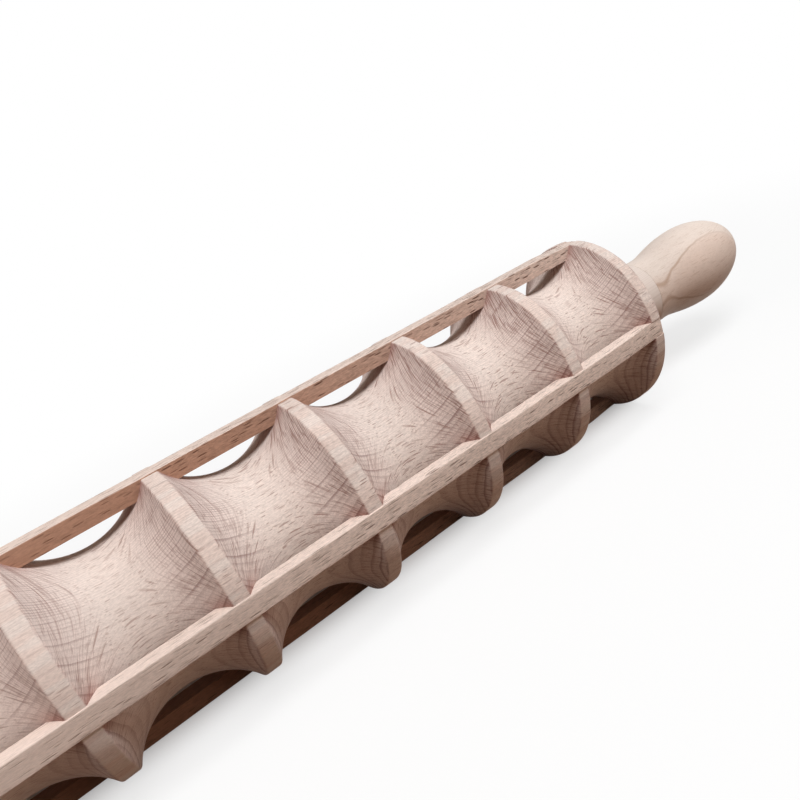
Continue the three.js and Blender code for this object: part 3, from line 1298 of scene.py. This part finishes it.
@dataclass
class AxleFittings:
    """The steel axle, the flanged bushes and the thrust washers. Sizes in millimetres."""

    axle_half: float
    boss_end: float
    axle_height: float
    axle_radius: float = 4.0
    end_chamfer: float = 0.8
    bush_bore: float = 4.15
    bush_radius: float = 6.75
    bush_length: float = 16.0
    flange_radius: float = 9.0
    flange_thickness: float = 1.6
    washer_hole: float = 4.15
    washer_radius: float = 8.6
    washer_gap: float = 0.2
    washer_thickness: float = 1.2
    ease: float = 0.2
    sides: int = 64

    def axle(self, material: Material) -> Object:
        """Build the axle with chamfered ends.

        Args:
            material: The axle's steel.

        Returns:
            The finished piece.
        """
        shoulder = self.axle_half - self.end_chamfer
        nose = self.axle_radius - self.end_chamfer
        half = [(shoulder, self.axle_radius), (self.axle_half, nose), (self.axle_half, 0.0)]
        profile = [(-along, radius) for along, radius in reversed(half)] + half
        return self.piece("axle_drawn", profile, PinEnd.RIGHT, material)

    def bush(self, end: PinEnd, material: Material) -> Object:
        """Build the flanged bush of one end.

        Args:
            end: The end that it belongs to.
            material: The bush's nylon.

        Returns:
            The finished piece.
        """
        face, ease = self.boss_end, self.ease
        back = face - self.flange_thickness
        tail = face - self.bush_length
        profile = [
            (tail, self.bush_bore), (tail, self.bush_radius - ease), (tail + ease, self.bush_radius),
            (back, self.bush_radius), (back, self.flange_radius), (face - ease, self.flange_radius),
            (face, self.flange_radius - ease), (face, self.bush_bore), (tail, self.bush_bore)]
        return self.piece(f"bush_{end.value}_moulded", profile, end, material)

    def washer(self, end: PinEnd, material: Material) -> Object:
        """Build the thrust washer of one end.

        Args:
            end: The end that it belongs to.
            material: The washer's steel.

        Returns:
            The finished piece.
        """
        ease, rim = self.ease, self.washer_radius
        near = self.boss_end + self.washer_gap
        far = near + self.washer_thickness
        profile = [
            (near, self.washer_hole), (near, rim - ease), (near + ease, rim), (far - ease, rim),
            (far, rim - ease), (far, self.washer_hole), (near, self.washer_hole)]
        return self.piece(f"washer_{end.value}_pressed", profile, end, material)

    def piece(self, name: str, profile: Profile, end: PinEnd, material: Material) -> Object:
        """Turn one fitting and put it on its end."""
        return turned_piece(name, profile, self.sides, self.axle_height, end, material)


@dataclass(frozen=True)
class Lamp:
    """A soft round studio lamp that looks at the pin. Metres and watts."""

    name: str
    place: Triple
    power: float
    colour: Colour = WHITE
    size: float = 0.45
    target: Triple = (0.05, 0.0, 0.03)

    def build(self) -> None:
        """Build the lamp."""
        data = bpy.data.lights.new(self.name, "AREA")
        data.shape = "DISK"
        data.size = self.size
        data.energy = self.power
        data.color = self.colour
        lamp = bpy.data.objects.new(self.name, data)
        lamp.location = self.place
        look = Vector(self.target) - Vector(self.place)
        lamp.rotation_euler = look.to_track_quat("-Z", "Y").to_euler()
        bpy.context.scene.collection.objects.link(lamp)


@dataclass
class Studio:
    """White ground, soft lamps and the photograph's camera. Millimetres, degrees and photograph pixels."""

    axle_height: float
    camera_along: float = -19.5
    camera_front: float = 119.4
    camera_above: float = 148.1
    camera_heading: float = 43.78
    camera_dip: float = 45.79
    camera_near: float = 5.0
    pin_roll: float = 27.24
    focal_pixels: float = 744.4
    centre_pixel: Pair = (496.4, 437.6)
    frame_pixels: float = 800.0
    sensor: float = 36.0
    floor_half: float = 4000.0
    floor_drop: float = 0.2
    ambient: float = 0.055
    ambient_colour: Colour = (1.0, 0.74, 0.58)
    floor_colour: Colour = (0.90, 0.90, 0.90)
    floor_bounce: Colour = (0.205, 0.13, 0.092)
    floor_white: float = 0.78
    shadow_length: float = 160.0
    shadow_reach: Pair = (80.0, 320.0)
    under_middle: float = 24.0
    under_half: float = 14.0
    under_length: float = 135.0
    under_fade: float = 24.0
    lamps: list[Lamp] = field(default_factory=lambda: [
        Lamp("key_left", (-0.147, -0.342, 0.839), 3.2),
        Lamp("key_right", (0.247, -0.342, 0.839), 4.3, (0.97, 0.99, 1.0)),
        Lamp("right_fill", (0.73, -0.22, 0.56), 1.35, (0.74, 0.93, 1.0)),
        Lamp("left_fill", (-0.659, 0.0, 0.584), 0.8, (1.0, 0.75, 0.62)),
        Lamp("front_fill", (0.56, -0.68, 0.24), 0.88, (1.0, 0.76, 0.61)),
        Lamp("rear_fill", (0.05, 0.9, 0.1), 0.42, (1.0, 0.70, 0.52), size=0.3),
    ])

    def build(self) -> None:
        """Build the camera, the lamps, the floor and the world."""
        self.build_camera()
        for lamp in self.lamps:
            lamp.build()
        self.build_floor()
        self.build_world()
        bpy.context.scene.view_settings.view_transform = "Standard"

    def build_camera(self) -> None:
        """Build the camera level with the ground and roll the view as the pin lies in the photograph."""
        heading = math.radians(self.camera_heading)
        dip = math.radians(self.camera_dip)
        level_reach = math.cos(dip)
        ahead = Vector((math.sin(heading) * level_reach, math.cos(heading) * level_reach, -math.sin(dip)))
        right = Vector((math.cos(heading), -math.sin(heading), 0.0))
        up = right.cross(ahead)
        level = Matrix((right, up, -ahead)).transposed().to_4x4()
        level.translation = Vector((self.camera_along, -self.camera_front, self.camera_above)) * MM
        lift = Matrix.Translation((0.0, 0.0, self.axle_height * MM))
        data = bpy.data.cameras.new("photo_camera")
        data.sensor_fit = "HORIZONTAL"
        data.sensor_width = self.sensor
        data.lens = self.focal_pixels / self.frame_pixels * self.sensor
        data.shift_x = 0.5 - self.centre_pixel[0] / self.frame_pixels
        data.shift_y = self.centre_pixel[1] / self.frame_pixels - 0.5
        data.clip_start = self.camera_near * MM
        camera = bpy.data.objects.new("photo_camera", data)
        camera.matrix_world = lift @ Matrix.Rotation(math.radians(self.pin_roll), 4, "X") @ level
        bpy.context.scene.collection.objects.link(camera)
        bpy.context.scene.camera = camera

    def seen(self, tree: NodeTree) -> Socket:
        """Tell rays that show the ground itself: from the camera, a reflection or through glass.

        Args:
            tree: The tree to add the nodes to.

        Returns:
            1 for such a ray and 0 for any other.
        """
        path = tree.add("ShaderNodeLightPath")
        shown = tree.math("MAXIMUM", path.outputs["Is Camera Ray"], path.outputs["Is Glossy Ray"])
        return tree.math("MAXIMUM", shown, path.outputs["Is Transmission Ray"])

    def white_share(self, tree: NodeTree) -> Socket:
        """How far the floor is white to the eye: fully in the open, and less where the pin's shadow falls.

        Args:
            tree: The floor material's tree.

        Returns:
            The share of white, 0 to 1.
        """
        along, across, _ = tree.split(tree.place())
        along = tree.size_of(along)
        past = tree.math("MAXIMUM", tree.math("SUBTRACT", along, self.shadow_length), 0.0)
        open_floor = tree.ramp(tree.length(across, past), *self.shadow_reach, self.floor_white, 1.0)
        beside = tree.size_of(tree.math("SUBTRACT", across, self.under_middle))
        under = tree.times(
            tree.fade(beside, self.under_half, self.under_half + self.under_fade),
            tree.fade(along, self.under_length, self.under_length + self.under_fade))
        return tree.times(open_floor, tree.rest(under))

    def build_floor(self) -> None:
        """Build the pale floor, white to the eye with the pin's own soft shadow."""
        half = self.floor_half * MM
        drop = -self.floor_drop * MM
        corners = [(-half, -half, drop), (half, -half, drop), (half, half, drop), (-half, half, drop)]
        mesh = new_mesh("floor", corners, [(0, 1, 2, 3)])
        material, tree, shader = new_material("pale_floor")
        tree.tree.nodes.remove(shader)
        pale = tree.fill(tree.add("ShaderNodeBsdfDiffuse"), (*self.floor_colour, 1.0))
        bounce = tree.fill(tree.add("ShaderNodeBsdfDiffuse"), (*self.floor_bounce, 1.0))
        white = tree.add("ShaderNodeEmission").outputs[0]
        ground = tree.fill(tree.add("ShaderNodeMixShader"), self.white_share(tree), pale, white)
        surface = tree.fill(tree.add("ShaderNodeMixShader"), self.seen(tree), bounce, ground)
        tree.join(surface, tree.tree.nodes["Material Output"].inputs["Surface"])
        mesh.materials.append(material)
        add_object("floor", mesh)

    def build_world(self) -> None:
        """Build an even sky that looks white and lights gently."""
        world = bpy.data.worlds.new("studio")
        bpy.context.scene.world = world
        world.use_nodes = True
        tree = NodeTree(world.node_tree)
        background = world.node_tree.nodes["Background"]
        seen = self.seen(tree)
        tree.join(tree.mix(seen, self.ambient_colour, WHITE), background.inputs["Color"])
        tree.join(tree.ramp(seen, 0.0, 1.0, self.ambient, 1.0), background.inputs["Strength"])


ROLLER_BEECH = BeechFinish(
    name="roller_beech_turned",
    pale=(0.80, 0.685, 0.625), late=(0.42, 0.295, 0.27), ray=(0.30, 0.158, 0.128),
    end_tint=(0.99, 0.965, 0.98), pith_distance=110.0, outward=29.0, glue_stain_and_shade=(0.62, 0.46, 0.44),
    sanded=(0.74, 0.635, 0.575), rim_range=(27.3, 27.7), figure_shares=(0.58, 1.0))
# The strips carry a painted shade tint on their side faces.
STRIP_BEECH = BeechFinish(
    name="strip_beech_planed",
    pale=(0.81, 0.66, 0.585), late=(0.52, 0.38, 0.325), ray=(0.17, 0.10, 0.075),
    end_tint=(0.85, 0.8, 0.77), pith_distance=160.0, outward=45.0, ring_width=2.1, ring_crowding=0.0,
    ring_strength=0.5, ray_size=(14.0, 0.36, 4.5), ray_reach=(0.0, 0.4), ray_strength=0.9,
    pore_size=(6.5, 0.33), pore_reach=(-0.02, 0.42), pore_strength=0.95, grain_size=(1.3, 0.3),
    grain_depth=0.38, bump=0.5, side_shade_tint=(0.60, 0.42, 0.33), figure_shares=(0.42, 1.08))
HANDLE_BEECH = BeechFinish(
    name="handle_beech_sanded",
    pale=(0.755, 0.64, 0.57), late=(0.61, 0.48, 0.41), ray=(0.40, 0.25, 0.17),
    end_tint=(0.92, 0.88, 0.86), pith_distance=45.0, outward=177.0, ring_width=4.0, ring_crowding=0.0,
    ring_strength=0.5, ray_strength=0.3, fine_ray_size=(8.0, 0.7, 14.0), fine_ray_strength=0.15,
    pore_strength=0.22, grain_depth=0.1, wander=0.3, bump=0.12, roughness=0.52, specular=0.16,
    streak=(10.2, 0.36))


def main() -> None:
    """Build every piece of the pin in order and then the studio."""
    logging.basicConfig(level=logging.INFO, format="%(name)s: %(message)s")
    core_low, core_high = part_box("roller_core")
    strip_low, strip_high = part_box("cutting_strip_top")
    _, axle_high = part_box("axle_rod")
    handle_low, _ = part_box("handle_right")
    axle_height = (core_low.z + core_high.z) / 2 / MM

    strips = CuttingStrips(
        half_length=strip_high.x / MM, face_radius=strip_high.z / MM - axle_height,
        rim_radius=(core_high.y - core_low.y) / 2 / MM, width=(strip_high.y - strip_low.y) / MM,
        depth=(strip_high.z - strip_low.z) / MM, axle_height=axle_height)
    strip_piece = strips.build(STRIP_BEECH.build(axle_height))
    strip_nodes = ["cutting_strip_top", "cutting_strip_front", "cutting_strip_bottom", "cutting_strip_rear"]
    hand_over(strip_piece, Body.ROLLER, strip_nodes)

    roller = Roller(half_length=strip_high.x / MM, boss_end=core_high.x / MM, axle_height=axle_height)
    roller_piece = roller.build(ROLLER_BEECH.build(axle_height), strips)
    hand_over(roller_piece, Body.ROLLER, ["roller_core"])

    handle_beech = HANDLE_BEECH.build(axle_height)
    for end in PinEnd:
        handle = Handle(end=end, foot=handle_low.x / MM, axle_height=axle_height)
        hand_over(handle.build(handle_beech), Body.HANDLES, [f"handle_{end.value}"])

    fittings = AxleFittings(axle_half=axle_high.x / MM, boss_end=core_high.x / MM, axle_height=axle_height)
    steel = SteelFinish().build()
    nylon = NylonFinish().build()
    hand_over(fittings.axle(steel), Body.HANDLES, ["axle_rod"])
    for end in PinEnd:
        hand_over(fittings.bush(end, nylon), Body.ROLLER, [f"bearing_bush_{end.value}"])
        hand_over(fittings.washer(end, steel), Body.HANDLES, [f"thrust_washer_{end.value}"])

    Studio(axle_height=axle_height).build()


if __name__ == "__main__":
    main()
